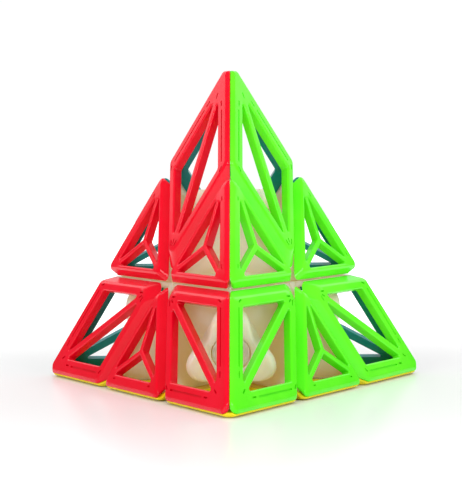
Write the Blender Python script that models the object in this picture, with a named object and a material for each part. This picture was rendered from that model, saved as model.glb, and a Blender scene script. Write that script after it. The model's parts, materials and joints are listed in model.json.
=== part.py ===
"""Pyramid twisty puzzle: a hollow-frame tetrahedron with four turning layers.

Metres, +Z up.  The origin is the centre of the core, where the four turning axes meet.
One corner points up, one points to -Y.
"""
import math

import bmesh
import bpy
from mathutils import Matrix, Vector

MM = 0.001

# Driving dimensions, in millimetres.
EDGE_LENGTH = 98.0          # tetrahedron edge over its sharp corners
LAYER_OFFSET = 5.9          # distance from the centre to each outer cut plane
INNER_OFFSET = 2.2          # the same cut, below the feet
SEAM = 0.35                 # clearance kept by each side of a cut
MITRE_GAP = 0.16            # clearance kept by each frame along a tetrahedron edge
PLAY = 0.3                  # clearance between pieces that touch

FRAME_DEPTH = 2.0           # thickness of a coloured frame
TIP_BLUNT = 4.3             # how far a flat cuts each corner short
FRAME_LEVELS = (0.0, 0.2, 0.7, 2.0)   # depths of the outlines a frame is built from
EDGE_ROUND = 1.56           # radius along the tetrahedron edges
CORNER_BEVEL = 1.35         # width of the bevel of a corner frame at its cuts
EDGE_BEVEL = 1.95           # width of the bevel of an edge frame at its cuts

CORNER_RIM_AT_EDGE = 5.25   # corner frame border, from the tetrahedron edge
CORNER_RIM_AT_CUT = 3.7     # corner frame border, from the cut
CORNER_BAR = 1.85           # bar down the middle of a corner frame
EDGE_RIM_AT_EDGE = 4.2
EDGE_RIM_AT_CUT = 3.2
EDGE_STRUT = 1.3            # each leg of the Y in an edge frame

CORE_BALL = 9.0             # radii of the parts around the centre
FOOT_INNER = 9.4
FOOT_OUTER = 14.2
FLANGE_INNER = 14.6
FLANGE_OUTER = 16.8

POST_RADIUS = 2.6           # distances along a turning axis, and radii about it
POST_TOP = 17.0
PILOT_RADIUS = 1.45
PILOT_BOTTOM = 10.0
STALK_RADIUS = 4.4
STALK_BOTTOM = 9.3
SPRING_SEAT = 19.0
HOUSING_TOP = 27.4
HOUSING_VALLEY = 6.3        # from the axis to the hollow between two lobes
HOUSING_REACH = 11.4        # from the axis to the end of a lobe
HOUSING_ROUND = 1.6         # height of the soft rim at the mouth
LOBE_SHARPNESS = 1.25
HOUSING_BORE = 4.6
SCREW_SHANK = 1.15
SCREW_HEAD = 2.8
SCREW_HEAD_BOTTOM = 24.4
SCREW_HEAD_TOP = 26.2
WASHER_RADIUS = 3.9
WASHER_BOTTOM = 23.6
WASHER_TOP = 24.1
SPRING_RADIUS = 3.0
SPRING_WIRE = 0.45
SPRING_TURNS = 3.0
CAP_THICKNESS = 1.0

WEB = 1.3                   # thickness of the webs that line the cuts
WEB_DEPTH = 2.3             # how far below the faces the webs stop
WEB_TIP = 31.0              # distance from the centre where an edge body is cut off
FACE_HOLE = 4.6             # opening in the webs around the middle of each face

# Regular tetrahedron.
IN_RADIUS = EDGE_LENGTH * math.sqrt(6.0) / 12.0
FACE_IN_RADIUS = EDGE_LENGTH / (2.0 * math.sqrt(3.0))
SLOPE = math.sqrt(8.0) / 3.0            # sine of the angle between two axes
CORNERS = {
    "top": Vector((0.0, 0.0, 1.0)),
    "front": Vector((0.0, -SLOPE, -1.0 / 3.0)),
    "right": Vector((SLOPE * math.cos(math.radians(30)), SLOPE * 0.5, -1.0 / 3.0)),
    "left": Vector((-SLOPE * math.cos(math.radians(30)), SLOPE * 0.5, -1.0 / 3.0)),
}
FACES = {"green": "left", "red": "right", "teal": "front", "yellow": "top"}
EDGES = (
    ("top", "front"), ("top", "right"), ("top", "left"),
    ("front", "right"), ("right", "left"), ("left", "front"),
)

COLOURS = {
    "red": (0.90, 0.010, 0.035),
    "green": (0.10, 0.85, 0.015),
    "teal": (0.0, 0.28, 0.30),
    "yellow": (0.85, 0.62, 0.0),
    "cream": (0.78, 0.72, 0.58),
    "core": (0.70, 0.66, 0.56),
    "steel": (0.55, 0.56, 0.58),
}


def make_material(name, colour, roughness=0.32, metallic=0.0):
    material = bpy.data.materials.new(name)
    material.use_nodes = True
    shader = material.node_tree.nodes["Principled BSDF"]
    shader.inputs["Base Color"].default_value = (*colour, 1.0)
    shader.inputs["Roughness"].default_value = roughness
    shader.inputs["Metallic"].default_value = metallic
    return material


def mesh_from(bm, name):
    """Finish a bmesh in millimetres as a mesh in metres with its faces pointing out."""
    bmesh.ops.remove_doubles(bm, verts=bm.verts, dist=1e-5)
    bmesh.ops.recalc_face_normals(bm, faces=bm.faces)
    bmesh.ops.scale(bm, vec=(MM, MM, MM), verts=bm.verts)
    mesh = bpy.data.meshes.new(name)
    bm.to_mesh(mesh)
    bm.free()
    return mesh


def place(name, mesh, matrix, material, parent=None):
    """Add one named piece; the matrix is its place in the world."""
    piece = bpy.data.objects.new(name, mesh)
    bpy.context.scene.collection.objects.link(piece)
    piece.matrix_world = matrix
    if parent is not None:
        piece.parent = parent
        piece.matrix_parent_inverse = parent.matrix_world.inverted()
    if not mesh.materials:
        mesh.materials.append(material)
    slot = piece.material_slots[0]
    slot.link = "OBJECT"
    slot.material = material
    return piece


def combined(mesh, other, operation):
    """The Boolean of two meshes, as a new mesh."""
    first = bpy.data.objects.new("first", mesh)
    second = bpy.data.objects.new("second", other)
    for helper in (first, second):
        bpy.context.scene.collection.objects.link(helper)
    modifier = first.modifiers.new("combine", "BOOLEAN")
    modifier.operation = operation
    modifier.solver = "EXACT"
    modifier.object = second
    bpy.context.view_layer.update()
    graph = bpy.context.evaluated_depsgraph_get()
    result = bpy.data.meshes.new_from_object(first.evaluated_get(graph))
    bpy.data.objects.remove(first)
    bpy.data.objects.remove(second)
    return result


# Outlines: convex polygons given by their sides, with rounded corners.

def meeting_point(side_a, side_b):
    """Where two lines meet; a line is (unit outward normal, distance from the origin)."""
    (ax, ay), a = side_a
    (bx, by), b = side_b
    det = ax * by - ay * bx
    return Vector(((a * by - b * ay) / det, (ax * b - bx * a) / det))


def rounded_outline(sides, radii, steps):
    """Points round a convex outline whose corner i lies between sides i and i+1."""
    points = []
    for index, radius in enumerate(radii):
        before = sides[index]
        after = sides[(index + 1) % len(sides)]
        corner = meeting_point(before, after)
        first = Vector(before[0])
        last = Vector(after[0])
        centre = corner - (first + last) * (radius / (1.0 + first.dot(last)))
        turn = first.angle(last)
        start = math.atan2(first.y, first.x)
        for step in range(steps + 1):
            angle = start + turn * step / steps
            points.append(centre + radius * Vector((math.cos(angle), math.sin(angle))))
    return points


def direction(degrees):
    angle = math.radians(degrees)
    return (math.cos(angle), math.sin(angle))


def cut_shift(depth):
    """In-plane distance from the face's middle to a cut line, at a depth under the face."""
    return (LAYER_OFFSET - (IN_RADIUS - depth) / 3.0) / SLOPE


def mitre_shift(depth):
    """In-plane distance from the face's middle to the mitre plane, at a depth."""
    return FACE_IN_RADIUS - math.sqrt(2.0) * depth


def edge_inset(depth):
    """How far a frame's wall stands back from the mitre: the round tetrahedron edge."""
    reach = min(depth, EDGE_ROUND)
    arc = math.sqrt(2.0 * EDGE_ROUND * reach - reach * reach)
    return max(MITRE_GAP, math.sqrt(2.0) * (EDGE_ROUND - depth) - arc)


def cut_inset(depth, bevel):
    """How far a frame's bevelled wall stands back from its cut."""
    return SEAM + bevel * (1.0 - depth / FRAME_DEPTH)


def corner_outline(depth, steps=3):
    """Rhombus: up to the corner at +Y, down to the face's middle."""
    edge = mitre_shift(depth) - edge_inset(depth)
    cut = cut_shift(depth) - cut_inset(depth, CORNER_BEVEL)
    blunt = 2.0 * FACE_IN_RADIUS - (TIP_BLUNT - depth / 3.0) / SLOPE
    tip = min(blunt, 2.0 * edge - 0.95)
    sides = [(direction(-30), cut), (direction(30), edge), (direction(90), tip),
             (direction(150), edge), (direction(210), cut)]
    return rounded_outline(sides, (1.5, 0.9, 0.9, 1.5, 2.6), steps)


def corner_windows(steps=2):
    """The two triangular windows of a rhombus, each side of its bar."""
    edge = FACE_IN_RADIUS - CORNER_RIM_AT_EDGE
    cut = cut_shift(0.0) - CORNER_RIM_AT_CUT
    bar = -CORNER_BAR / 2.0
    right = [(direction(-30), cut), (direction(30), edge), (direction(180), bar)]
    left = [(direction(150), edge), (direction(210), cut), (direction(0), bar)]
    radii = (0.8, 0.35, 0.35)
    return [rounded_outline(right, radii, steps), rounded_outline(left, radii, steps)]


def edge_outline(depth, steps=3):
    """Triangle with its long side on the tetrahedron edge at +Y."""
    edge = mitre_shift(depth) - edge_inset(depth)
    cut = -cut_shift(depth) - cut_inset(depth, EDGE_BEVEL)
    sides = [(direction(90), edge), (direction(210), cut), (direction(330), cut)]
    return rounded_outline(sides, (1.1, 1.1, 1.1), steps)


def edge_windows(steps=2):
    """Three windows, parted by a Y whose legs run to the triangle's corners."""
    edge = FACE_IN_RADIUS - EDGE_RIM_AT_EDGE
    cut = cut_shift(0.0) + EDGE_RIM_AT_CUT
    middle = Vector((0.0, (edge + cut) / 1.5))
    reach = edge - middle.y
    windows = []
    for outward in (90, 210, 330):
        rim = (direction(outward), Vector(direction(outward)).dot(middle) + reach)
        legs = []
        for turn in (120, 240):
            normal = direction(outward + turn + (30 if turn == 120 else -30))
            legs.append((normal, Vector(normal).dot(middle) - EDGE_STRUT / 2.0))
        windows.append(rounded_outline([rim, legs[0], legs[1]], (0.3, 0.3, 0.3), steps))
    return windows


def frame_mesh(name, outer_levels, windows):
    """A plate with windows: a stack of outlines going down, closed above and below."""
    bm = bmesh.new()

    def ring(points, height):
        return [bm.verts.new((p.x, p.y, height)) for p in points]

    def wall(upper, lower):
        for index in range(len(upper)):
            following = (index + 1) % len(upper)
            bm.faces.new((upper[index], upper[following], lower[following], lower[index]))

    rings = [ring(points, -depth) for depth, points in outer_levels]
    for upper, lower in zip(rings, rings[1:]):
        wall(upper, lower)
    tops = [rings[0]]
    bottoms = [rings[-1]]
    bottom_depth = outer_levels[-1][0]
    for points in windows:
        upper = ring(points, 0.0)
        lower = ring(points, -bottom_depth)
        wall(upper, lower)
        tops.append(upper)
        bottoms.append(lower)
    for loops in (tops, bottoms):
        edges = []
        for loop in loops:
            for index, vert in enumerate(loop):
                edges.append(bm.edges.get((vert, loop[(index + 1) % len(loop)])))
        bmesh.ops.triangle_fill(bm, use_beauty=True, use_dissolve=False, edges=edges)
    return mesh_from(bm, name)


def corner_frame_mesh():
    levels = [(depth, corner_outline(depth)) for depth in FRAME_LEVELS]
    return frame_mesh("corner_frame", levels, corner_windows())


def edge_frame_mesh():
    levels = [(depth, edge_outline(depth)) for depth in FRAME_LEVELS]
    return frame_mesh("edge_frame", levels, edge_windows())


# Solids cut out of balls and blocks by planes.

def cut_by(bm, planes):
    """Keep the part of a closed bmesh behind each plane (outward normal, distance)."""
    for normal, distance in planes:
        normal = Vector(normal)
        result = bmesh.ops.bisect_plane(
            bm, geom=bm.verts[:] + bm.edges[:] + bm.faces[:], dist=1e-6,
            plane_co=normal * distance, plane_no=normal, clear_outer=True)
        rim = [item for item in result["geom_cut"] if isinstance(item, bmesh.types.BMEdge)]
        if rim:
            bmesh.ops.edgenet_fill(bm, edges=rim)


def ball_mesh(name, radius, planes=(), detail=3):
    bm = bmesh.new()
    bmesh.ops.create_icosphere(bm, subdivisions=detail, radius=radius)
    cut_by(bm, planes)
    return mesh_from(bm, name)


def block_mesh(name, size, planes):
    bm = bmesh.new()
    bmesh.ops.create_cube(bm, size=2.0 * size)
    cut_by(bm, planes)
    return mesh_from(bm, name)


def turned_mesh(name, profile, segments=20):
    """Solid of revolution about Z; a closed profile of (radius, height) points."""
    bm = bmesh.new()
    rings = []
    for radius, height in profile:
        ring = []
        for index in range(segments):
            angle = 2.0 * math.pi * index / segments
            place_at = (radius * math.cos(angle), radius * math.sin(angle), height)
            ring.append(bm.verts.new(place_at))
            if radius == 0.0:
                break
        rings.append(ring)
    for first, second in zip(rings, rings[1:] + rings[:1]):
        count = max(len(first), len(second))
        if count == 1:
            continue
        for index in range(count):
            following = (index + 1) % count
            corners = [first[index % len(first)], first[following % len(first)],
                       second[following % len(second)], second[index % len(second)]]
            bm.faces.new(list(dict.fromkeys(corners)))
    return mesh_from(bm, name)


def coil_mesh(name, radius, wire, bottom, top, turns, per_turn=12, sides=6):
    """A closed helical wire with flat ends, about Z."""
    bm = bmesh.new()
    count = int(turns * per_turn)
    rise = (top - bottom - 2.0 * wire) / count
    previous = None
    for index in range(count + 1):
        angle = 2.0 * math.pi * index / per_turn
        outward = Vector((math.cos(angle), math.sin(angle), 0.0))
        centre = outward * radius + Vector((0.0, 0.0, bottom + wire + rise * index))
        ring = []
        for side in range(sides):
            around = 2.0 * math.pi * side / sides
            offset = outward * math.cos(around) + Vector((0.0, 0.0, math.sin(around)))
            ring.append(bm.verts.new(centre + wire * offset))
        if previous is None:
            bm.faces.new(ring)
        else:
            for side in range(sides):
                following = (side + 1) % sides
                bm.faces.new((previous[side], previous[following],
                              ring[following], ring[side]))
        previous = ring
    bm.faces.new(previous)
    return mesh_from(bm, name)


# Local frames.  A hub points along +Z, with the other three axes spread round it from +X.
# An edge unit points along +Z between the two axes it belongs to, which lean to +X and -X.

HUB_NEIGHBOURS = [Vector((*(SLOPE * Vector(direction(angle))), -1.0 / 3.0))
                  for angle in (0, 120, 240)]
HALF_SINE = math.sqrt(2.0 / 3.0)
HALF_COSINE = math.sqrt(1.0 / 3.0)
EDGE_OWN = [Vector((HALF_SINE, 0.0, HALF_COSINE)), Vector((-HALF_SINE, 0.0, HALF_COSINE))]
EDGE_OTHERS = [Vector((0.0, HALF_SINE, -HALF_COSINE)), Vector((0.0, -HALF_SINE, -HALF_COSINE))]


def core_mesh():
    """Ball with a hollow post along each axis."""
    core = ball_mesh("core", CORE_BALL)
    pilot = turned_mesh("pilot", [(0.0, PILOT_BOTTOM), (PILOT_RADIUS, PILOT_BOTTOM),
                                  (PILOT_RADIUS, POST_TOP + 2.0), (0.0, POST_TOP + 2.0)], 12)
    post = turned_mesh("post", [(0.0, 2.0), (POST_RADIUS, 2.0),
                                (POST_RADIUS, POST_TOP), (0.0, POST_TOP)], 16)
    post = combined(post, pilot, "DIFFERENCE")
    for axis in CORNERS.values():
        standing = post.copy()
        standing.transform(Vector((0.0, 0.0, 1.0)).rotation_difference(axis).to_matrix().to_4x4())
        core = combined(core, standing, "UNION")
    return core


def housing_outline(valley, reach, points=24):
    """Three lobes that point to the neighbouring axes, with hollow sides between them."""
    outline = []
    for index in range(points):
        angle = 2.0 * math.pi * index / points
        lobe = (0.5 + 0.5 * math.cos(3.0 * angle)) ** LOBE_SHARPNESS
        radius = valley + (reach - valley) * lobe
        outline.append(radius * Vector((math.cos(angle), math.sin(angle))))
    return outline


def housing_levels(flare_steps=6, rim_steps=3):
    """Height, valley and reach of each outline of the housing, from the bottom up."""
    start = FLANGE_INNER + 1.0
    end = HOUSING_TOP - HOUSING_ROUND
    levels = [(STALK_BOTTOM, STALK_RADIUS, STALK_RADIUS)]
    for step in range(flare_steps + 1):
        part = step / flare_steps
        ease = part * part * (3.0 - 2.0 * part)
        valley = STALK_RADIUS + (HOUSING_VALLEY - STALK_RADIUS) * min(1.0, 2.0 * ease)
        reach = STALK_RADIUS + (HOUSING_REACH - STALK_RADIUS) * ease
        levels.append((start + (end - start) * part, valley, reach))
    for step in range(1, rim_steps + 1):
        angle = math.pi / 2.0 * step / rim_steps
        inset = 0.94 * HOUSING_ROUND * (1.0 - math.cos(angle))
        height = end + HOUSING_ROUND * math.sin(angle)
        levels.append((height, HOUSING_VALLEY - 0.4 * inset, HOUSING_REACH - inset))
    return levels


def housing_mesh():
    """Bell that widens outward from a round stalk to three lobes, with a soft rim."""
    bm = bmesh.new()
    previous = None
    for height, valley, reach in housing_levels():
        ring = [bm.verts.new((p.x, p.y, height)) for p in housing_outline(valley, reach)]
        if previous is None:
            bm.faces.new(ring)
        else:
            for index in range(len(ring)):
                following = (index + 1) % len(ring)
                bm.faces.new((previous[index], previous[following],
                              ring[following], ring[index]))
        previous = ring
    bm.faces.new(previous)
    return mesh_from(bm, "housing")


def below_faces(axes):
    """Planes that keep a body under the frames of the faces opposite these axes."""
    return [(-axis, IN_RADIUS - WEB_DEPTH) for axis in axes]


def opened_at_faces(mesh, axes):
    """Clear the webs from around the middles of the faces opposite these axes."""
    for axis in axes:
        hole = ball_mesh("hole", FACE_HOLE, detail=2)
        hole.transform(Matrix.Translation(-axis * IN_RADIUS * MM))
        mesh = combined(mesh, hole, "DIFFERENCE")
    return mesh


def corner_webs_mesh():
    """The three webs of a corner hub, along its cuts toward the neighbouring corners."""
    down = Vector((0.0, 0.0, -1.0))
    outer = [(axis, LAYER_OFFSET - SEAM) for axis in HUB_NEIGHBOURS]
    outer.append((down, -(LAYER_OFFSET + SEAM)))
    webs = block_mesh("webs", 60.0, outer + below_faces(HUB_NEIGHBOURS))
    room = [(axis, LAYER_OFFSET - SEAM - WEB) for axis in HUB_NEIGHBOURS]
    return combined(webs, block_mesh("room", 70.0, room), "DIFFERENCE")


def hub_bore_mesh():
    """The holes down the middle: for the post, the screw's shank and the spring."""
    shank = SCREW_SHANK + 0.45
    post = POST_RADIUS + 0.4
    return turned_mesh("bore", [
        (0.0, STALK_BOTTOM - 1.0), (post, STALK_BOTTOM - 1.0),
        (post, POST_TOP + PLAY), (shank, POST_TOP + PLAY),
        (shank, SPRING_SEAT), (HOUSING_BORE, SPRING_SEAT),
        (HOUSING_BORE, HOUSING_TOP + 1.0), (0.0, HOUSING_TOP + 1.0)])


def hub_mesh():
    """Corner hub: flange over the edge feet, webs along its cuts, spring housing."""
    margin = SEAM + 0.1
    planes = [(Vector((0.0, 0.0, -1.0)), -(LAYER_OFFSET + margin))]
    planes += [(axis, LAYER_OFFSET - margin) for axis in HUB_NEIGHBOURS]
    webs = opened_at_faces(corner_webs_mesh(), HUB_NEIGHBOURS)
    hub = combined(webs, ball_mesh("flange", FLANGE_OUTER, planes), "UNION")
    hub = combined(hub, ball_mesh("hollow", FLANGE_INNER), "DIFFERENCE")
    hub = combined(hub, housing_mesh(), "UNION")
    return combined(hub, hub_bore_mesh(), "DIFFERENCE")


def edge_body_mesh():
    """Edge unit's inner body: two webs along its cuts, and a foot under the flanges."""
    foot_planes = [(-axis, -(INNER_OFFSET + SEAM)) for axis in EDGE_OWN]
    foot_planes += [(axis, INNER_OFFSET - SEAM) for axis in EDGE_OTHERS]
    foot = ball_mesh("foot", FOOT_OUTER, foot_planes)
    foot = combined(foot, ball_mesh("inside", FOOT_INNER), "DIFFERENCE")

    outer = [(-axis, -(LAYER_OFFSET + SEAM)) for axis in EDGE_OWN]
    outer.append((Vector((0.0, 0.0, 1.0)), WEB_TIP))
    outer += [(axis, LAYER_OFFSET - SEAM) for axis in EDGE_OTHERS]
    body = block_mesh("webs", 60.0, outer + below_faces(EDGE_OTHERS))
    inner = [(-axis, -(LAYER_OFFSET + SEAM + WEB)) for axis in EDGE_OWN]
    body = combined(body, block_mesh("hollow", 70.0, inner), "DIFFERENCE")
    body = opened_at_faces(body, EDGE_OTHERS)
    return combined(body, foot, "UNION")


def screw_mesh():
    """Pan-head screw with a crosswise slot in its head."""
    slot_width = 0.7
    body = turned_mesh("screw", [
        (0.0, PILOT_BOTTOM + 1.0), (SCREW_SHANK * 0.5, PILOT_BOTTOM + 1.0),
        (SCREW_SHANK, PILOT_BOTTOM + 2.5), (SCREW_SHANK, SCREW_HEAD_BOTTOM),
        (SCREW_HEAD, SCREW_HEAD_BOTTOM), (SCREW_HEAD, SCREW_HEAD_TOP - 0.6),
        (SCREW_HEAD - 0.8, SCREW_HEAD_TOP), (0.0, SCREW_HEAD_TOP)], 16)
    for turn in (0.0, 90.0):
        along = Vector((*direction(turn), 0.0))
        across = Vector((*direction(turn + 90.0), 0.0))
        up = Vector((0.0, 0.0, 1.0))
        planes = [(along, 1.7), (-along, 1.7), (across, slot_width / 2.0),
                  (-across, slot_width / 2.0), (-up, -(SCREW_HEAD_TOP - 1.0))]
        body = combined(body, block_mesh("slot", 40.0, planes), "DIFFERENCE")
    return body


def washer_mesh():
    inner = SCREW_SHANK + 0.4
    return turned_mesh("washer", [(inner, WASHER_BOTTOM), (WASHER_RADIUS, WASHER_BOTTOM),
                                  (WASHER_RADIUS, WASHER_TOP), (inner, WASHER_TOP)], 24)


def cap_mesh():
    """Round lid pressed into the housing's mouth."""
    radius = HOUSING_BORE - PLAY
    bottom = HOUSING_TOP - CAP_THICKNESS
    return turned_mesh("cap", [(0.0, bottom), (radius, bottom), (radius, HOUSING_TOP - 0.3),
                               (radius - 0.3, HOUSING_TOP), (0.0, HOUSING_TOP)], 24)


def basis(x_axis, y_axis, z_axis, origin=Vector((0.0, 0.0, 0.0))):
    """World matrix of a local frame, from its axes and an origin in millimetres."""
    matrix = Matrix((x_axis, y_axis, z_axis)).transposed().to_4x4()
    matrix.translation = origin * MM
    return matrix


def hub_matrix(corner):
    """Hub frame: +Z along the corner's axis, +X leaning to a neighbouring corner."""
    z_axis = CORNERS[corner]
    other = next(axis for name, axis in CORNERS.items() if name != corner)
    x_axis = (other - z_axis * other.dot(z_axis)).normalized()
    return basis(x_axis, z_axis.cross(x_axis), z_axis)


def edge_matrix(first, second):
    """Edge frame: +Z between the two corners, +X leaning to the first."""
    z_axis = (CORNERS[first] + CORNERS[second]).normalized()
    x_axis = (CORNERS[first] - CORNERS[second]).normalized()
    return basis(x_axis, z_axis.cross(x_axis), z_axis)


def face_matrix(face, toward):
    """Frame on a face: +Z out of the face, +Y toward a direction in it."""
    z_axis = -CORNERS[FACES[face]]
    y_axis = (toward - z_axis * toward.dot(z_axis)).normalized()
    return basis(y_axis.cross(z_axis), y_axis, z_axis, z_axis * IN_RADIUS)


def unit_parent(name):
    """Empty at the centre, where every turning axis passes."""
    empty = bpy.data.objects.new(name, None)
    bpy.context.scene.collection.objects.link(empty)
    return empty


def build_core(materials):
    place("core_spider", core_mesh(), Matrix.Identity(4), materials["core"])
    meshes = {
        "screw": screw_mesh(),
        "washer": washer_mesh(),
        "spring": coil_mesh("spring", SPRING_RADIUS, SPRING_WIRE, SPRING_SEAT + PLAY,
                            WASHER_BOTTOM - PLAY, SPRING_TURNS),
    }
    for corner in CORNERS:
        for kind, mesh in meshes.items():
            place(f"{kind}_{corner}", mesh, hub_matrix(corner), materials["steel"])


def build_corners(materials):
    hub = hub_mesh()
    cap = cap_mesh()
    frame = corner_frame_mesh()
    for corner, axis in CORNERS.items():
        parent = unit_parent(f"corner_{corner}_unit")
        place(f"corner_{corner}_hub", hub, hub_matrix(corner), materials["cream"], parent)
        place(f"corner_{corner}_cap", cap, hub_matrix(corner), materials["cream"], parent)
        for face, opposite in FACES.items():
            if opposite != corner:
                place(f"corner_{corner}_{face}_frame", frame, face_matrix(face, axis),
                      materials[face], parent)


def build_edges(materials):
    body = edge_body_mesh()
    frame = edge_frame_mesh()
    for first, second in EDGES:
        name = f"edge_{first}_{second}"
        parent = unit_parent(f"{name}_unit")
        place(f"{name}_body", body, edge_matrix(first, second), materials["cream"], parent)
        toward = CORNERS[first] + CORNERS[second]
        for face, opposite in FACES.items():
            if opposite not in (first, second):
                place(f"{name}_{face}_frame", frame, face_matrix(face, toward),
                      materials[face], parent)


def main():
    for old in list(bpy.data.objects):
        bpy.data.objects.remove(old)
    materials = {name: make_material(name, colour) for name, colour in COLOURS.items()}
    materials["steel"] = make_material("steel_wire", COLOURS["steel"], 0.3, 1.0)
    build_core(materials)
    build_corners(materials)
    build_edges(materials)


main()
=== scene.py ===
"""Looks of the pyramid twisty puzzle: detailed frames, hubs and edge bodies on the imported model.

Lengths are in millimetres until a mesh is finished, then in metres.  +Z is up.
"""
import json
import math

import bmesh
import bpy
from mathutils import Matrix, Vector

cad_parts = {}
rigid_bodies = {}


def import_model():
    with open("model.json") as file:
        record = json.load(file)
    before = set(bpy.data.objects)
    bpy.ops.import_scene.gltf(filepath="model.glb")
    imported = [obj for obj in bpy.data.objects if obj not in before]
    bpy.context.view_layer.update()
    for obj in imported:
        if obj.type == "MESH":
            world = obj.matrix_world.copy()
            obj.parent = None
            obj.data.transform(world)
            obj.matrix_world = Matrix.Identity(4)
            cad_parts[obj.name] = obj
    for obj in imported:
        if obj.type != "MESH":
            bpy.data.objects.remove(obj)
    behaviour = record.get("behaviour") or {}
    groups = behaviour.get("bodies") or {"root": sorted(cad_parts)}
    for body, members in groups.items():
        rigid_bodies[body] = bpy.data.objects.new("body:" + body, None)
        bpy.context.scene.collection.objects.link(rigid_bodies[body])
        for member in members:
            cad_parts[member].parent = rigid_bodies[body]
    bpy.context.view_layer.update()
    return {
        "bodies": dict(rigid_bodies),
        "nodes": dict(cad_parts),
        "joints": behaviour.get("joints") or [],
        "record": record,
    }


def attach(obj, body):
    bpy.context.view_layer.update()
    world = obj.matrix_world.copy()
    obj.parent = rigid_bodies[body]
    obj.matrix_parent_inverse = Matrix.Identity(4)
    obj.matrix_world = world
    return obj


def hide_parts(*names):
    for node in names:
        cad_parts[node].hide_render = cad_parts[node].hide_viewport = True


MM = 0.001

# Dimensions of the CAD model.
EDGE_LENGTH = 98.0          # tetrahedron edge over its sharp corners
LAYER_OFFSET = 5.9          # distance from the centre to each outer cut plane
INNER_OFFSET = 2.2          # the same cut, below the feet
PLAY = 0.3                  # clearance between pieces that touch
FRAME_DEPTH = 2.0           # thickness of a coloured frame
TIP_BLUNT = 4.3             # how far a flat cuts each corner short
EDGE_ROUND = 1.56           # radius along the tetrahedron edges
CORNER_BEVEL = 1.35         # width of the bevel of a corner frame at its cuts
EDGE_BEVEL = 1.95           # width of the bevel of an edge frame at its cuts
CORNER_RIM_AT_EDGE = 5.25   # corner frame border, from the tetrahedron edge
CORNER_RIM_AT_CUT = 3.7     # corner frame border, from the cut
CORNER_BAR = 1.85           # bar down the middle of a corner frame
EDGE_RIM_AT_EDGE = 4.2
EDGE_RIM_AT_CUT = 3.2
EDGE_STRUT = 1.3            # each leg of the Y in an edge frame
CORNER_RADII = (1.5, 0.9, 0.9, 1.5, 2.6)    # at the corners of each outline, in order
CORNER_WINDOW_RADII = (0.8, 0.35, 0.35)
EDGE_RADII = (1.1, 1.1, 1.1)
EDGE_WINDOW_RADII = (0.3, 0.3, 0.3)
TIP_MARGIN = 0.95           # how far the tip's flat stays below the point of its borders
FOOT_INNER = 9.4            # radii of the parts around the centre
FOOT_OUTER = 14.2
FLANGE_INNER = 14.6
FLANGE_OUTER = 16.8
POST_RADIUS = 2.6           # distances along a turning axis, and radii about it
POST_TOP = 17.0
STALK_RADIUS = 4.4
STALK_BOTTOM = 9.3
SPRING_SEAT = 19.0
HOUSING_TOP = 27.4
HOUSING_VALLEY = 6.3        # from the axis to the hollow between two lobes
HOUSING_REACH = 11.4        # from the axis to the end of a lobe
HOUSING_ROUND = 1.6         # height of the soft rim at the mouth
LOBE_SHARPNESS = 1.25
HOUSING_BORE = 4.6
SCREW_SHANK = 1.15
CAP_THICKNESS = 1.0
WEB = 1.3                   # thickness of the webs that line the cuts
WEB_DEPTH = 2.3             # how far below the faces the webs stop
WEB_TIP = 31.0              # distance from the centre where an edge body is cut off
FACE_HOLE = 4.6             # opening in the webs around the middle of each face

# Seams; each is narrower than the CAD model's.
SEAM = 0.25                 # clearance kept by each side of a cut
MITRE_GAP = 0.06            # clearance kept by each frame along a tetrahedron edge
WEB_SEAM = 0.1              # webs meet more closely than the frames over them

# Finer detail than the CAD model holds.
TIP_ROUND = 0.7
LIP = 0.4                   # rounding round each window
LIP_STEPS = 4
CREST = 0.3                 # rounding where a face turns into its bevel
CREST_DEPTH = 0.35
FRAME_LEVELS = (0.0, 0.02, 0.06, 0.12, 0.2, 0.32, 0.5, 0.75, 1.05, 1.5, 2.0)
GROOVE_FROM_EDGE = 3.55     # engraved line along a corner frame's outer border
GROOVE_WIDTH = 0.42
GROOVE_DEPTH = 0.4
GROOVE_START = 5.4          # along the border, from the cut's side
GROOVE_STOP = 8.6           # along the border, short of the tip
NOTCH_WIDTH = 0.42
NOTCH_DEPTH = 0.6
CUT_NOTCH_ALONG = 3.4       # along the border, from the cut's side
CUT_NOTCH_INWARD = 0.35     # toward the window, from the groove's line
CUT_NOTCH_LENGTH = 1.1
TIP_NOTCH_ALONG = 6.6       # along the border, short of the tip
TIP_NOTCH_INWARD = 0.1
TIP_NOTCH_BELOW = 3.7       # down the bar, below the tip
SIDE_NOTCH_LENGTH = 1.3     # the notches each side of the bar's two ends
TIP_BAR_NOTCH_LENGTH = 1.2
CENTRE_NOTCH = 7.4          # from the face's middle to the notches at a rhombus's foot
CENTRE_NOTCH_ASIDE = 1.9    # from there along each cut
CENTRE_BAR_NOTCH_UP = 2.1   # from there up the bar
CENTRE_BAR_NOTCH_LENGTH = 0.9
EDGE_NOTCH_FROM_EDGE = 3.2
EDGE_NOTCH_ASIDE = 9.1
EDGE_NOTCH_LENGTH = 0.9
EDGE_NOTCH_WIDTH = 0.36
EDGE_NOTCH_DEPTH = 0.42
CAP_ROUND = 0.35            # rounding round the lid
CAP_BORDER = 0.9            # from the lid's side to its dished middle
CAP_SLOPE = 0.3             # width of the slope into the dish
CAP_DISH = 0.25             # depth of the dish
SHARP_ANGLE = 38.0          # degrees; an edge that turns more than this stays hard

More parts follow.
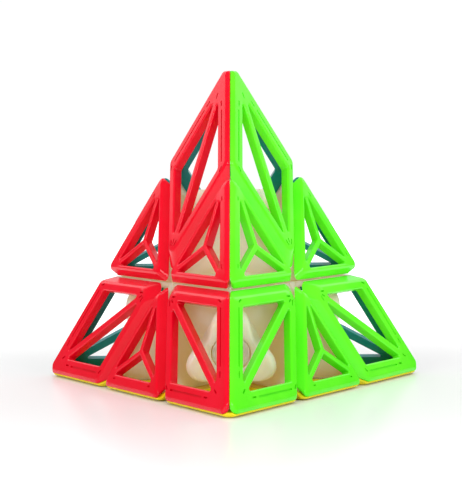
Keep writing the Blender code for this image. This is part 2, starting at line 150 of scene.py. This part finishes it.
IN_RADIUS = EDGE_LENGTH * math.sqrt(6.0) / 12.0
FACE_IN_RADIUS = EDGE_LENGTH / (2.0 * math.sqrt(3.0))
SLOPE = math.sqrt(8.0) / 3.0
CORNERS = {
    "top": Vector((0.0, 0.0, 1.0)),
    "front": Vector((0.0, -SLOPE, -1.0 / 3.0)),
    "right": Vector((SLOPE * math.cos(math.radians(30)), SLOPE * 0.5, -1.0 / 3.0)),
    "left": Vector((-SLOPE * math.cos(math.radians(30)), SLOPE * 0.5, -1.0 / 3.0)),
}
FACES = {"green": "left", "red": "right", "teal": "front", "yellow": "top"}
EDGES = (
    ("top", "front"), ("top", "right"), ("top", "left"),
    ("front", "right"), ("right", "left"), ("left", "front"),
)
HUB_NEIGHBOURS = [
    Vector((SLOPE * math.cos(angle), SLOPE * math.sin(angle), -1.0 / 3.0))
    for angle in (0.0, 2.0 * math.pi / 3.0, 4.0 * math.pi / 3.0)
]
HALF_SINE = math.sqrt(2.0 / 3.0)
HALF_COSINE = math.sqrt(1.0 / 3.0)
EDGE_OWN = [Vector((HALF_SINE, 0.0, HALF_COSINE)), Vector((-HALF_SINE, 0.0, HALF_COSINE))]
EDGE_OTHERS = [Vector((0.0, HALF_SINE, -HALF_COSINE)), Vector((0.0, -HALF_SINE, -HALF_COSINE))]

# Studio; from here lengths are in metres.
WORLD_SEEN = 1.02           # the white surround's strength to the camera
WORLD_LIGHT = 0.66          # and as a light
WORLD_IN_GLOSS = 0.12       # and in reflections
SOFTBOXES = (               # name, position, size and power in watts
    ("key_left", (-0.55, -0.75, 0.45), 0.35, 3.2),
    ("key_right", (0.60, -0.70, 0.40), 0.35, 3.2),
    ("top", (0.0, 0.1, 0.9), 0.6, 3.0),
    ("back", (0.0, 0.9, 0.5), 0.8, 2.0),
    ("rim_left", (-0.60, 0.65, 0.50), 0.5, 0.9),
    ("rim_right", (0.60, 0.65, 0.50), 0.5, 0.9),
)
FLOOR_COLOUR = (0.80, 0.80, 0.80)
FLOOR_PALE = (0.82, 0.82, 0.82)
FLOOR_RADIUS = 1.0
FLOOR_GLOW = 0.8
FLOOR_GLOW_FROM = 0.05      # distances from the middle over which the floor brightens
FLOOR_GLOW_TO = 0.30
FLOOR_DROP = 0.00005        # keeps the floor just clear of the puzzle's underside
CAMERA_LENS = 148.97        # millimetres, on a sensor 36 wide
CAMERA_PLACE = (0.0065, -0.4570, 0.0382)
CAMERA_YAW = -0.836         # degrees
CAMERA_PITCH = 3.158
CAMERA_ROLL = -0.474

# Painted warm glow on the pale plastic, standing in for light bounced from the coloured frames and
# light that scatters inside its walls.
PAINTED_WARM_GLOW = 0.07
PAINTED_GLOW_COLOUR = (1.0, 0.64, 0.24, 1.0)

# Base colour and the paler tone that mottles it, in linear light.
PLASTICS = {
    "red": ((0.78, 0.001, 0.014), (0.84, 0.003, 0.022)),
    "green": ((0.10, 0.86, 0.008), (0.14, 0.91, 0.018)),
    "teal": ((0.004, 0.21, 0.21), (0.012, 0.27, 0.27)),
    "yellow": ((0.97, 0.78, 0.008), (0.99, 0.84, 0.025)),
}


# Materials.

def new_material(name):
    material = bpy.data.materials.new(name)
    material.use_nodes = True
    tree = material.node_tree
    return material, tree, tree.nodes["Principled BSDF"]


def noise(tree, scale, detail=3.0, roughness=0.5):
    """Noise in object coordinates, with its scale in features per metre."""
    coordinates = tree.nodes.new("ShaderNodeTexCoord")
    texture = tree.nodes.new("ShaderNodeTexNoise")
    texture.inputs["Scale"].default_value = scale
    texture.inputs["Detail"].default_value = detail
    texture.inputs["Roughness"].default_value = roughness
    tree.links.new(coordinates.outputs["Object"], texture.inputs["Vector"])
    return texture.outputs["Fac"]


def between(tree, factor, low, high):
    """A number that runs from low to high as the factor runs over the noise's middle."""
    node = tree.nodes.new("ShaderNodeMapRange")
    node.inputs["From Min"].default_value = 0.3
    node.inputs["From Max"].default_value = 0.7
    node.inputs["To Min"].default_value = low
    node.inputs["To Max"].default_value = high
    tree.links.new(factor, node.inputs["Value"])
    return node.outputs["Result"]


def blend_colours(tree, factor, first, second):
    ramp = tree.nodes.new("ShaderNodeValToRGB")
    ramp.color_ramp.elements[0].position = 0.35
    ramp.color_ramp.elements[0].color = (*first, 1.0)
    ramp.color_ramp.elements[1].position = 0.65
    ramp.color_ramp.elements[1].color = (*second, 1.0)
    tree.links.new(factor, ramp.inputs["Fac"])
    return ramp.outputs["Color"]


def add_bump(tree, shader, height, strength, distance):
    bump = tree.nodes.new("ShaderNodeBump")
    bump.inputs["Strength"].default_value = strength
    bump.inputs["Distance"].default_value = distance
    tree.links.new(height, bump.inputs["Height"])
    tree.links.new(bump.outputs["Normal"], shader.inputs["Normal"])


def moulded_plastic(name, base, pale):
    """Semi-gloss injection-moulded plastic: faint flow mottling and a fine soft texture."""
    material, tree, shader = new_material(name)
    mottle = blend_colours(tree, noise(tree, 60.0, 4.0), base, pale)
    tree.links.new(mottle, shader.inputs["Base Color"])
    roughness = between(tree, noise(tree, 220.0, 5.0, 0.6), 0.14, 0.22)
    tree.links.new(roughness, shader.inputs["Roughness"])
    shader.inputs["Specular IOR Level"].default_value = 0.3
    add_bump(tree, shader, noise(tree, 1500.0, 2.0), 0.03, 0.00005)
    return material


def milky_plastic(name, base, pale, depth):
    """Uncoloured translucent plastic that light soaks into, with a painted warm glow for bounced
    light; both grow as depth rises.
    """
    material, tree, shader = new_material(name)
    mottle = blend_colours(tree, noise(tree, 90.0, 3.0), base, pale)
    tree.links.new(mottle, shader.inputs["Base Color"])
    roughness = between(tree, noise(tree, 300.0, 4.0), 0.32, 0.45)
    tree.links.new(roughness, shader.inputs["Roughness"])
    shader.inputs["Subsurface Weight"].default_value = depth
    shader.inputs["Subsurface Radius"].default_value = (1.0, 0.8, 0.6)
    shader.inputs["Subsurface Scale"].default_value = 0.010
    shader.inputs["Transmission Weight"].default_value = depth * 0.15
    # painted warm glow: emission standing in for light bounced inside the hollow body
    shader.inputs["Emission Color"].default_value = PAINTED_GLOW_COLOUR
    shader.inputs["Emission Strength"].default_value = PAINTED_WARM_GLOW * depth
    shader.inputs["Specular IOR Level"].default_value = 0.4
    add_bump(tree, shader, noise(tree, 900.0, 2.0), 0.08, 0.00008)
    return material


def drawn_steel(name):
    """Plated steel with fine drawing marks."""
    material, tree, shader = new_material(name)
    tone = blend_colours(tree, noise(tree, 400.0, 5.0), (0.42, 0.43, 0.45), (0.62, 0.63, 0.65))
    tree.links.new(tone, shader.inputs["Base Color"])
    roughness = between(tree, noise(tree, 900.0, 5.0), 0.22, 0.36)
    tree.links.new(roughness, shader.inputs["Roughness"])
    shader.inputs["Metallic"].default_value = 1.0
    add_bump(tree, shader, noise(tree, 2500.0, 3.0), 0.1, 0.00005)
    return material


def make_materials():
    materials = {name: moulded_plastic(f"{name}_plastic", base, pale)
                 for name, (base, pale) in PLASTICS.items()}
    materials["cream"] = milky_plastic("cream_plastic", (0.96, 0.87, 0.64),
                                       (0.98, 0.92, 0.74), 0.9)
    materials["core"] = milky_plastic("core_plastic", (0.58, 0.52, 0.42),
                                      (0.66, 0.60, 0.50), 0.2)
    materials["steel"] = drawn_steel("plated_steel")
    return materials


# Outlines: convex polygons given by their sides, with rounded corners.

def direction(degrees):
    angle = math.radians(degrees)
    return (math.cos(angle), math.sin(angle))


def meeting_point(side_a, side_b):
    """Where two lines meet; a line is (unit outward normal, distance from the origin)."""
    (ax, ay), a = side_a
    (bx, by), b = side_b
    det = ax * by - ay * bx
    return Vector(((a * by - b * ay) / det, (ax * b - bx * a) / det))


def rounded_outline(sides, radii, steps):
    """Points round a convex outline whose corner i lies between sides i and i+1."""
    points = []
    for index, radius in enumerate(radii):
        before = sides[index]
        after = sides[(index + 1) % len(sides)]
        corner = meeting_point(before, after)
        first = Vector(before[0])
        last = Vector(after[0])
        centre = corner - (first + last) * (radius / (1.0 + first.dot(last)))
        turn = first.angle(last)
        start = math.atan2(first.y, first.x)
        for step in range(steps + 1):
            angle = start + turn * step / steps
            points.append(centre + radius * Vector((math.cos(angle), math.sin(angle))))
    return points


def grown(sides, radii, amount, steps):
    """The rounded outline of the sides, moved outward by an amount."""
    moved = [(normal, distance + amount) for normal, distance in sides]
    return rounded_outline(moved, [radius + amount for radius in radii], steps)


def cut_shift(depth):
    """In-plane distance from the face's middle to a cut line, at a depth under the face."""
    return (LAYER_OFFSET - (IN_RADIUS - depth) / 3.0) / SLOPE


def mitre_shift(depth):
    """In-plane distance from the face's middle to the mitre plane, at a depth."""
    return FACE_IN_RADIUS - math.sqrt(2.0) * depth


def edge_inset(depth):
    """How far a frame's wall stands back from the mitre: the round tetrahedron edge."""
    reach = min(depth, EDGE_ROUND)
    arc = math.sqrt(2.0 * EDGE_ROUND * reach - reach * reach)
    return max(MITRE_GAP, math.sqrt(2.0) * (EDGE_ROUND - depth) - arc)


def cut_inset(depth, bevel):
    """How far a frame's bevelled wall stands back from its cut, with a rounded crest."""
    crest = CREST * max(0.0, 1.0 - depth / CREST_DEPTH) ** 2
    return SEAM + bevel * (1.0 - depth / FRAME_DEPTH) + crest


def tip_shift(depth):
    """In-plane distance from the face's middle to the flat that blunts a corner."""
    rise = max(0.0, 1.0 - depth / TIP_ROUND)
    rounding = TIP_ROUND * (1.0 - math.sqrt(1.0 - rise * rise))
    return 2.0 * FACE_IN_RADIUS - (TIP_BLUNT - depth / 3.0) / SLOPE - rounding


# Frames: plates with windows, grooves and notches.

def corner_outline(depth, steps=8):
    """Rhombus: up to the corner at +Y, down to the face's middle."""
    edge = mitre_shift(depth) - edge_inset(depth)
    cut = cut_shift(depth) - cut_inset(depth, CORNER_BEVEL)
    tip = min(tip_shift(depth), 2.0 * edge - TIP_MARGIN)
    sides = [(direction(-30), cut), (direction(30), edge), (direction(90), tip),
             (direction(150), edge), (direction(210), cut)]
    return rounded_outline(sides, CORNER_RADII, steps)


def corner_windows():
    """The two triangular windows of a rhombus, each side of its bar."""
    edge = FACE_IN_RADIUS - CORNER_RIM_AT_EDGE
    cut = cut_shift(0.0) - CORNER_RIM_AT_CUT
    bar = -CORNER_BAR / 2.0
    right = [(direction(-30), cut), (direction(30), edge), (direction(180), bar)]
    left = [(direction(150), edge), (direction(210), cut), (direction(0), bar)]
    return [(right, CORNER_WINDOW_RADII), (left, CORNER_WINDOW_RADII)]


def slot_outline(start, end, width):
    """A slot with round ends between two points."""
    along = (end - start).normalized()
    angle = math.atan2(along.y, along.x)
    points = []
    for centre, base in ((end, angle - math.pi / 2.0), (start, angle + math.pi / 2.0)):
        for step in range(7):
            turn = base + math.pi * step / 6.0
            offset = Vector((math.cos(turn), math.sin(turn))) * (width / 2.0)
            points.append(centre + offset)
    return points


def notch(centre, along, length, width=NOTCH_WIDTH, depth=NOTCH_DEPTH):
    """A short slot about a point, with its depth."""
    half = along.normalized() * (length / 2.0)
    return (slot_outline(centre - half, centre + half, width), depth)


def border_marks(side, line):
    """The groove and the notches beside one outer border of a rhombus."""
    normal = Vector((side * math.cos(math.radians(30)), 0.5))
    along = Vector((-side * 0.5, math.cos(math.radians(30))))
    cut_along = Vector((side * 0.5, math.cos(math.radians(30))))
    low = line * math.tan(math.radians(30))
    high = line * math.tan(math.radians(60))
    start = normal * line + along * (low + GROOVE_START)
    end = normal * line + along * (high - GROOVE_STOP)
    near_cut = normal * (line - CUT_NOTCH_INWARD) + along * (low + CUT_NOTCH_ALONG)
    near_tip = normal * (line - TIP_NOTCH_INWARD) + along * (high - TIP_NOTCH_ALONG)
    foot = Vector((0.0, CENTRE_NOTCH)) + cut_along * CENTRE_NOTCH_ASIDE
    return [
        (slot_outline(start, end, GROOVE_WIDTH), GROOVE_DEPTH),
        notch(near_cut, along + 0.9 * normal, CUT_NOTCH_LENGTH),
        notch(near_tip, along, SIDE_NOTCH_LENGTH),
        notch(foot, cut_along, SIDE_NOTCH_LENGTH),
    ]


def corner_marks():
    """Grooves along the outer borders of a rhombus, and notches at its four corners."""
    line = FACE_IN_RADIUS - GROOVE_FROM_EDGE
    up = Vector((0.0, 1.0))
    marks = border_marks(1.0, line) + border_marks(-1.0, line)
    near_tip = Vector((0.0, 2.0 * line - TIP_NOTCH_BELOW))
    near_centre = Vector((0.0, CENTRE_NOTCH + CENTRE_BAR_NOTCH_UP))
    marks.append(notch(near_tip, up, TIP_BAR_NOTCH_LENGTH))
    marks.append(notch(near_centre, up, CENTRE_BAR_NOTCH_LENGTH))
    return marks


def edge_outline(depth, steps=8):
    """Triangle with its long side on the tetrahedron edge at +Y."""
    edge = mitre_shift(depth) - edge_inset(depth)
    cut = -cut_shift(depth) - cut_inset(depth, EDGE_BEVEL)
    sides = [(direction(90), edge), (direction(210), cut), (direction(330), cut)]
    return rounded_outline(sides, EDGE_RADII, steps)


def edge_windows():
    """Three windows, parted by a Y whose legs run to the triangle's corners."""
    edge = FACE_IN_RADIUS - EDGE_RIM_AT_EDGE
    cut = cut_shift(0.0) + EDGE_RIM_AT_CUT
    middle = Vector((0.0, (edge + cut) / 1.5))
    reach = edge - middle.y
    windows = []
    for outward in (90, 210, 330):
        sides = [(direction(outward), Vector(direction(outward)).dot(middle) + reach)]
        for turn in (150, 210):
            normal = direction(outward + turn)
            sides.append((normal, Vector(normal).dot(middle) - EDGE_STRUT / 2.0))
        windows.append((sides, EDGE_WINDOW_RADII))
    return windows


def edge_marks():
    """A short notch at each end of an edge frame's outer border."""
    line = FACE_IN_RADIUS - EDGE_NOTCH_FROM_EDGE
    marks = []
    for side in (1.0, -1.0):
        centre = Vector((side * EDGE_NOTCH_ASIDE, line))
        marks.append(notch(centre, Vector((1.0, 0.0)), EDGE_NOTCH_LENGTH,
                           EDGE_NOTCH_WIDTH, EDGE_NOTCH_DEPTH))
    return marks


class PlateBuilder:
    """Builds a plate from rings of points, walls between them and filled flat faces."""

    def __init__(self):
        self.bm = bmesh.new()

    def ring(self, points, depth):
        return [self.bm.verts.new((p.x, p.y, -depth)) for p in points]

    def wall(self, upper, lower):
        for index in range(len(upper)):
            following = (index + 1) % len(upper)
            self.bm.faces.new((upper[index], upper[following],
                               lower[following], lower[index]))

    def stack(self, levels):
        """Walls through a list of (points, depth); returns the first and last ring."""
        rings = [self.ring(points, depth) for points, depth in levels]
        for upper, lower in zip(rings, rings[1:]):
            self.wall(upper, lower)
        return rings[0], rings[-1]

    def fill(self, loops):
        edges = []
        for loop in loops:
            for index, vert in enumerate(loop):
                edges.append(self.bm.edges.get((vert, loop[(index + 1) % len(loop)])))
        bmesh.ops.triangle_fill(self.bm, use_beauty=True, use_dissolve=False, edges=edges)


def window_levels(sides, radii):
    """A window's wall, with a rounded lip at its top and a smaller one below."""
    levels = []
    for step in range(LIP_STEPS + 1):
        angle = math.pi / 2.0 * step / LIP_STEPS
        depth = LIP * (1.0 - math.cos(angle))
        levels.append((grown(sides, radii, LIP * (1.0 - math.sin(angle)), 4), depth))
    levels.append((grown(sides, radii, 0.0, 4), FRAME_DEPTH))
    return levels


def frame_mesh(name, outline, windows, marks):
    plate = PlateBuilder()
    top, bottom = plate.stack([(outline(depth), depth) for depth in FRAME_LEVELS])
    tops = [top]
    bottoms = [bottom]
    for sides, radii in windows:
        upper, lower = plate.stack(window_levels(sides, radii))
        tops.append(upper)
        bottoms.append(lower)
    for points, depth in marks:
        upper, floor = plate.stack([(points, 0.0), (points, depth)])
        tops.append(upper)
        plate.fill([floor])
    plate.fill(tops)
    plate.fill(bottoms)
    return finished_mesh(plate.bm, name)


# Solids cut out of balls and blocks by planes.

def finished_mesh(bm, name):
    """Finish a bmesh in millimetres as a mesh in metres with its faces pointing out."""
    bmesh.ops.remove_doubles(bm, verts=bm.verts, dist=1e-4)
    bmesh.ops.recalc_face_normals(bm, faces=bm.faces)
    bmesh.ops.scale(bm, vec=(MM, MM, MM), verts=bm.verts)
    mesh = bpy.data.meshes.new(name)
    bm.to_mesh(mesh)
    bm.free()
    return mesh


def cut_by(bm, planes):
    """Keep the part of a closed bmesh behind each plane (outward normal, distance)."""
    for normal, distance in planes:
        result = bmesh.ops.bisect_plane(
            bm, geom=bm.verts[:] + bm.edges[:] + bm.faces[:], dist=1e-6,
            plane_co=normal * distance, plane_no=normal, clear_outer=True)
        rim = [item for item in result["geom_cut"] if isinstance(item, bmesh.types.BMEdge)]
        if rim:
            bmesh.ops.edgenet_fill(bm, edges=rim)


def ball_mesh(name, radius, planes=()):
    bm = bmesh.new()
    tilt = Matrix.Rotation(0.37, 4, Vector((0.3, 0.8, 0.5)).normalized())
    bmesh.ops.create_icosphere(bm, subdivisions=4, radius=radius, matrix=tilt)
    cut_by(bm, planes)
    return finished_mesh(bm, name)


def block_mesh(name, size, planes):
    bm = bmesh.new()
    bmesh.ops.create_cube(bm, size=2.0 * size)
    cut_by(bm, planes)
    return finished_mesh(bm, name)


def lofted_mesh(name, levels):
    """A solid through rings of points, each (points, height), closed at both ends."""
    bm = bmesh.new()
    previous = None
    for points, height in levels:
        ring = [bm.verts.new((p.x, p.y, height)) for p in points]
        if previous is None:
            bm.faces.new(ring)
        else:
            for index in range(len(ring)):
                following = (index + 1) % len(ring)
                bm.faces.new((previous[index], previous[following],
                              ring[following], ring[index]))
        previous = ring
    bm.faces.new(previous)
    return finished_mesh(bm, name)


def circle(radius, segments=64):
    return [radius * Vector((math.cos(2.0 * math.pi * index / segments),
                             math.sin(2.0 * math.pi * index / segments)))
            for index in range(segments)]


def combined(mesh, other, operation):
    """The Boolean of two meshes, as a new mesh."""
    first = bpy.data.objects.new("first", mesh)
    second = bpy.data.objects.new("second", other)
    for helper in (first, second):
        bpy.context.scene.collection.objects.link(helper)
    modifier = first.modifiers.new("combine", "BOOLEAN")
    modifier.operation = operation
    modifier.solver = "EXACT"
    modifier.object = second
    bpy.context.view_layer.update()
    graph = bpy.context.evaluated_depsgraph_get()
    result = bpy.data.meshes.new_from_object(first.evaluated_get(graph))
    for helper in (first, second):
        bpy.data.objects.remove(helper)
    return result


# Inner bodies.

def below_faces(axes):
    """Planes that keep a body under the frames of the faces opposite these axes."""
    return [(-axis, IN_RADIUS - WEB_DEPTH) for axis in axes]


def housing_outline(valley, reach, points=90):
    """Three lobes that point to the neighbouring axes, with hollow sides between them."""
    outline = []
    for index in range(points):
        angle = 2.0 * math.pi * index / points
        lobe = (0.5 + 0.5 * math.cos(3.0 * angle)) ** LOBE_SHARPNESS
        radius = valley + (reach - valley) * lobe
        outline.append(radius * Vector((math.cos(angle), math.sin(angle))))
    return outline


def housing_levels(flare_steps=14, rim_steps=8):
    """Height, valley and reach of each outline of the housing, from the bottom up."""
    start = FLANGE_INNER + 1.0
    end = HOUSING_TOP - HOUSING_ROUND
    levels = [(STALK_BOTTOM, STALK_RADIUS, STALK_RADIUS)]
    for step in range(flare_steps + 1):
        part = step / flare_steps
        ease = part * part * (3.0 - 2.0 * part)
        valley = STALK_RADIUS + (HOUSING_VALLEY - STALK_RADIUS) * min(1.0, 2.0 * ease)
        reach = STALK_RADIUS + (HOUSING_REACH - STALK_RADIUS) * ease
        levels.append((start + (end - start) * part, valley, reach))
    for step in range(1, rim_steps + 1):
        angle = math.pi / 2.0 * step / rim_steps
        inset = 0.94 * HOUSING_ROUND * (1.0 - math.cos(angle))
        height = end + HOUSING_ROUND * math.sin(angle)
        levels.append((height, HOUSING_VALLEY - 0.4 * inset, HOUSING_REACH - inset))
    return levels


def housing_mesh():
    """Bell that widens outward from a round stalk to three lobes, with a soft rim."""
    levels = []
    for height, valley, reach in housing_levels():
        levels.append((housing_outline(valley, reach), height))
    return lofted_mesh("housing", levels)


def corner_webs_mesh():
    """The three webs of a corner hub, along its cuts toward the neighbouring corners."""
    down = Vector((0.0, 0.0, -1.0))
    outer = [(axis, LAYER_OFFSET - WEB_SEAM) for axis in HUB_NEIGHBOURS]
    outer.append((down, -(LAYER_OFFSET + WEB_SEAM)))
    webs = block_mesh("webs", 60.0, outer + below_faces(HUB_NEIGHBOURS))
    room = [(axis, LAYER_OFFSET - WEB_SEAM - WEB) for axis in HUB_NEIGHBOURS]
    return combined(webs, block_mesh("room", 70.0, room), "DIFFERENCE")


def hub_bore_mesh():
    """The holes down the middle: for the post, the screw's shank and the spring."""
    shank = SCREW_SHANK + 0.45
    post = POST_RADIUS + 0.4
    levels = ((post, STALK_BOTTOM - 1.0), (post, POST_TOP + PLAY),
              (shank, POST_TOP + PLAY), (shank, SPRING_SEAT),
              (HOUSING_BORE, SPRING_SEAT), (HOUSING_BORE, HOUSING_TOP + 1.0))
    return lofted_mesh("bore", [(circle(radius), height) for radius, height in levels])


def opened_at_faces(mesh, axes):
    """Clear the webs from around the middles of the faces opposite these axes."""
    for axis in axes:
        hole = ball_mesh("hole", FACE_HOLE)
        hole.transform(Matrix.Translation(-axis * IN_RADIUS * MM))
        mesh = combined(mesh, hole, "DIFFERENCE")
    return mesh


def hub_mesh():
    """Corner hub: flange over the edge feet, webs along its cuts, spring housing."""
    margin = WEB_SEAM + 0.1
    planes = [(Vector((0.0, 0.0, -1.0)), -(LAYER_OFFSET + margin))]
    planes += [(axis, LAYER_OFFSET - margin) for axis in HUB_NEIGHBOURS]
    webs = opened_at_faces(corner_webs_mesh(), HUB_NEIGHBOURS)
    hub = combined(webs, ball_mesh("flange", FLANGE_OUTER, planes), "UNION")
    hub = combined(hub, ball_mesh("hollow", FLANGE_INNER), "DIFFERENCE")
    hub = combined(hub, housing_mesh(), "UNION")
    return combined(hub, hub_bore_mesh(), "DIFFERENCE")


def edge_body_mesh():
    """Edge unit's inner body: two webs along its cuts, and a foot under the flanges."""
    foot_planes = [(-axis, -(INNER_OFFSET + SEAM)) for axis in EDGE_OWN]
    foot_planes += [(axis, INNER_OFFSET - SEAM) for axis in EDGE_OTHERS]
    foot = ball_mesh("foot", FOOT_OUTER, foot_planes)
    foot = combined(foot, ball_mesh("inside", FOOT_INNER), "DIFFERENCE")

    outer = [(-axis, -(LAYER_OFFSET + WEB_SEAM)) for axis in EDGE_OWN]
    outer.append((Vector((0.0, 0.0, 1.0)), WEB_TIP))
    outer += [(axis, LAYER_OFFSET - WEB_SEAM) for axis in EDGE_OTHERS]
    body = block_mesh("webs", 60.0, outer + below_faces(EDGE_OTHERS))
    inner = [(-axis, -(LAYER_OFFSET + WEB_SEAM + WEB)) for axis in EDGE_OWN]
    body = combined(body, block_mesh("hollow", 70.0, inner), "DIFFERENCE")
    return combined(opened_at_faces(body, EDGE_OTHERS), foot, "UNION")


def cap_mesh():
    """Round lid in the housing's mouth, with a shallow dished middle and a soft rim."""
    radius = HOUSING_BORE - PLAY
    bottom = HOUSING_TOP - CAP_THICKNESS
    dish = radius - CAP_BORDER - CAP_SLOPE
    levels = (
        (radius, bottom),
        (radius, HOUSING_TOP - CAP_ROUND),
        (radius - 0.1, HOUSING_TOP - 0.1),
        (radius - CAP_ROUND, HOUSING_TOP),
        (radius - CAP_BORDER, HOUSING_TOP),
        (dish, HOUSING_TOP - CAP_DISH),
    )
    return lofted_mesh("cap", [(circle(size), height) for size, height in levels])


# Placing the pieces.

def basis(x_axis, y_axis, z_axis, origin=Vector((0.0, 0.0, 0.0))):
    """World matrix of a local frame, from its axes and an origin in millimetres."""
    matrix = Matrix((x_axis, y_axis, z_axis)).transposed().to_4x4()
    matrix.translation = origin * MM
    return matrix


def hub_matrix(corner):
    z_axis = CORNERS[corner]
    other = next(axis for name, axis in CORNERS.items() if name != corner)
    x_axis = (other - z_axis * other.dot(z_axis)).normalized()
    return basis(x_axis, z_axis.cross(x_axis), z_axis)


def edge_matrix(first, second):
    z_axis = (CORNERS[first] + CORNERS[second]).normalized()
    x_axis = (CORNERS[first] - CORNERS[second]).normalized()
    return basis(x_axis, z_axis.cross(x_axis), z_axis)


def face_matrix(face, toward):
    """Frame on a face: +Z out of the face, +Y toward a direction in it."""
    z_axis = -CORNERS[FACES[face]]
    y_axis = (toward - z_axis * toward.dot(z_axis)).normalized()
    return basis(y_axis.cross(z_axis), y_axis, z_axis, z_axis * IN_RADIUS)


def add_piece(node, mesh, matrix, material, body):
    """Add a detailed piece that stands for a CAD node and moves with its body."""
    placed = mesh.copy()
    placed.name = f"{node}_look"
    placed.transform(matrix)
    placed.materials.clear()
    placed.materials.append(material)
    piece = bpy.data.objects.new(f"{node}_look", placed)
    bpy.context.scene.collection.objects.link(piece)
    placed.shade_smooth()
    placed.set_sharp_from_angle(angle=math.radians(SHARP_ANGLE))
    smoothing = piece.modifiers.new("flat_faces_stay_flat", "WEIGHTED_NORMAL")
    smoothing.keep_sharp = True
    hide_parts(node)
    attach(piece, body)


def add_corners(materials):
    hub = hub_mesh()
    cap = cap_mesh()
    frame = frame_mesh("corner_frame", corner_outline, corner_windows(), corner_marks())
    for corner, axis in CORNERS.items():
        body = f"corner_{corner}"
        for kind, mesh in (("hub", hub), ("cap", cap)):
            add_piece(f"{body}_{kind}", mesh, hub_matrix(corner), materials["cream"],
                      body)
        for face, opposite in FACES.items():
            if opposite != corner:
                add_piece(f"{body}_{face}_frame", frame, face_matrix(face, axis),
                          materials[face], body)


def add_edges(materials):
    inner = edge_body_mesh()
    frame = frame_mesh("edge_frame", edge_outline, edge_windows(), edge_marks())
    for first, second in EDGES:
        body = f"edge_{first}_{second}"
        add_piece(f"{body}_body", inner, edge_matrix(first, second), materials["cream"],
                  body)
        toward = CORNERS[first] + CORNERS[second]
        for face, opposite in FACES.items():
            if opposite not in (first, second):
                add_piece(f"{body}_{face}_frame", frame, face_matrix(face, toward),
                          materials[face], body)


def finish_core(frame, materials):
    """Give the hidden working parts their materials."""
    for name, node in frame["nodes"].items():
        kind = name.split("_")[0]
        if kind in ("screw", "spring", "washer"):
            node.material_slots[0].material = materials["steel"]
        elif kind == "core":
            node.material_slots[0].material = materials["core"]


# Studio.

def add_floor_glow(tree, shader):
    """A glow that grows with distance from the floor's middle."""
    coordinates = tree.nodes.new("ShaderNodeTexCoord")
    distance = tree.nodes.new("ShaderNodeVectorMath")
    distance.operation = "LENGTH"
    glow = tree.nodes.new("ShaderNodeMapRange")
    glow.interpolation_type = "SMOOTHSTEP"
    glow.inputs["From Min"].default_value = FLOOR_GLOW_FROM
    glow.inputs["From Max"].default_value = FLOOR_GLOW_TO
    glow.inputs["To Max"].default_value = FLOOR_GLOW
    tree.links.new(coordinates.outputs["Object"], distance.inputs[0])
    tree.links.new(distance.outputs["Value"], glow.inputs["Value"])
    tree.links.new(glow.outputs["Result"], shader.inputs["Emission Strength"])
    shader.inputs["Emission Color"].default_value = (1.0, 1.0, 1.0, 1.0)


def add_floor():
    """A pale glossy table that brightens to white away from the puzzle."""
    material, tree, shader = new_material("studio_floor")
    tone = blend_colours(tree, noise(tree, 3.0), FLOOR_COLOUR, FLOOR_PALE)
    tree.links.new(tone, shader.inputs["Base Color"])
    shader.inputs["Roughness"].default_value = 0.3
    add_floor_glow(tree, shader)
    bm = bmesh.new()
    bmesh.ops.create_circle(bm, cap_ends=True, segments=96, radius=FLOOR_RADIUS)
    mesh = bpy.data.meshes.new("floor")
    bm.to_mesh(mesh)
    bm.free()
    mesh.materials.append(material)
    floor = bpy.data.objects.new("floor", mesh)
    floor.location = (0.0, 0.0, -IN_RADIUS * MM - FLOOR_DROP)
    bpy.context.scene.collection.objects.link(floor)


def add_softbox(name, position, size, power):
    """A square area light that faces the puzzle."""
    light = bpy.data.lights.new(name, "AREA")
    light.size = size
    light.energy = power
    lamp = bpy.data.objects.new(name, light)
    lamp.location = position
    aim = -Vector(position)
    lamp.rotation_euler = aim.to_track_quat("-Z", "Y").to_euler()
    bpy.context.scene.collection.objects.link(lamp)


def add_world():
    """A white surround with its own strength for camera rays, reflections and light."""
    world = bpy.data.worlds.new("studio")
    world.use_nodes = True
    tree = world.node_tree
    background = tree.nodes["Background"]
    background.inputs["Color"].default_value = (1.0, 1.0, 1.0, 1.0)
    rays = tree.nodes.new("ShaderNodeLightPath")
    lit = tree.nodes.new("ShaderNodeMapRange")
    lit.inputs["To Min"].default_value = WORLD_LIGHT
    lit.inputs["To Max"].default_value = WORLD_IN_GLOSS
    strength = tree.nodes.new("ShaderNodeMapRange")
    strength.inputs["To Max"].default_value = WORLD_SEEN
    tree.links.new(rays.outputs["Is Glossy Ray"], lit.inputs["Value"])
    tree.links.new(lit.outputs["Result"], strength.inputs["To Min"])
    tree.links.new(rays.outputs["Is Camera Ray"], strength.inputs["Value"])
    tree.links.new(strength.outputs["Result"], background.inputs["Strength"])
    bpy.context.scene.world = world


def add_lights():
    add_world()
    for name, position, size, power in SOFTBOXES:
        add_softbox(name, position, size, power)


def add_camera():
    camera = bpy.data.cameras.new("camera")
    camera.sensor_fit = "HORIZONTAL"
    camera.sensor_width = 36.0
    camera.lens = CAMERA_LENS
    camera.clip_start = 0.01
    camera.clip_end = 50.0
    viewer = bpy.data.objects.new("camera", camera)
    yaw = Matrix.Rotation(-math.radians(CAMERA_YAW), 4, "Z")
    pitch = Matrix.Rotation(math.pi / 2.0 - math.radians(CAMERA_PITCH), 4, "X")
    roll = Matrix.Rotation(math.radians(CAMERA_ROLL), 4, "Z")
    viewer.matrix_world = Matrix.Translation(CAMERA_PLACE) @ yaw @ pitch @ roll
    bpy.context.scene.collection.objects.link(viewer)
    bpy.context.scene.camera = viewer


def set_colour_management():
    settings = bpy.context.scene.view_settings
    settings.view_transform = "Standard"
    settings.look = "None"
    settings.exposure = 0.0
    settings.gamma = 1.0


def main():
    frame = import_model()
    set_colour_management()
    add_camera()
    add_lights()
    add_floor()
    materials = make_materials()
    finish_core(frame, materials)
    add_corners(materials)
    add_edges(materials)


main()
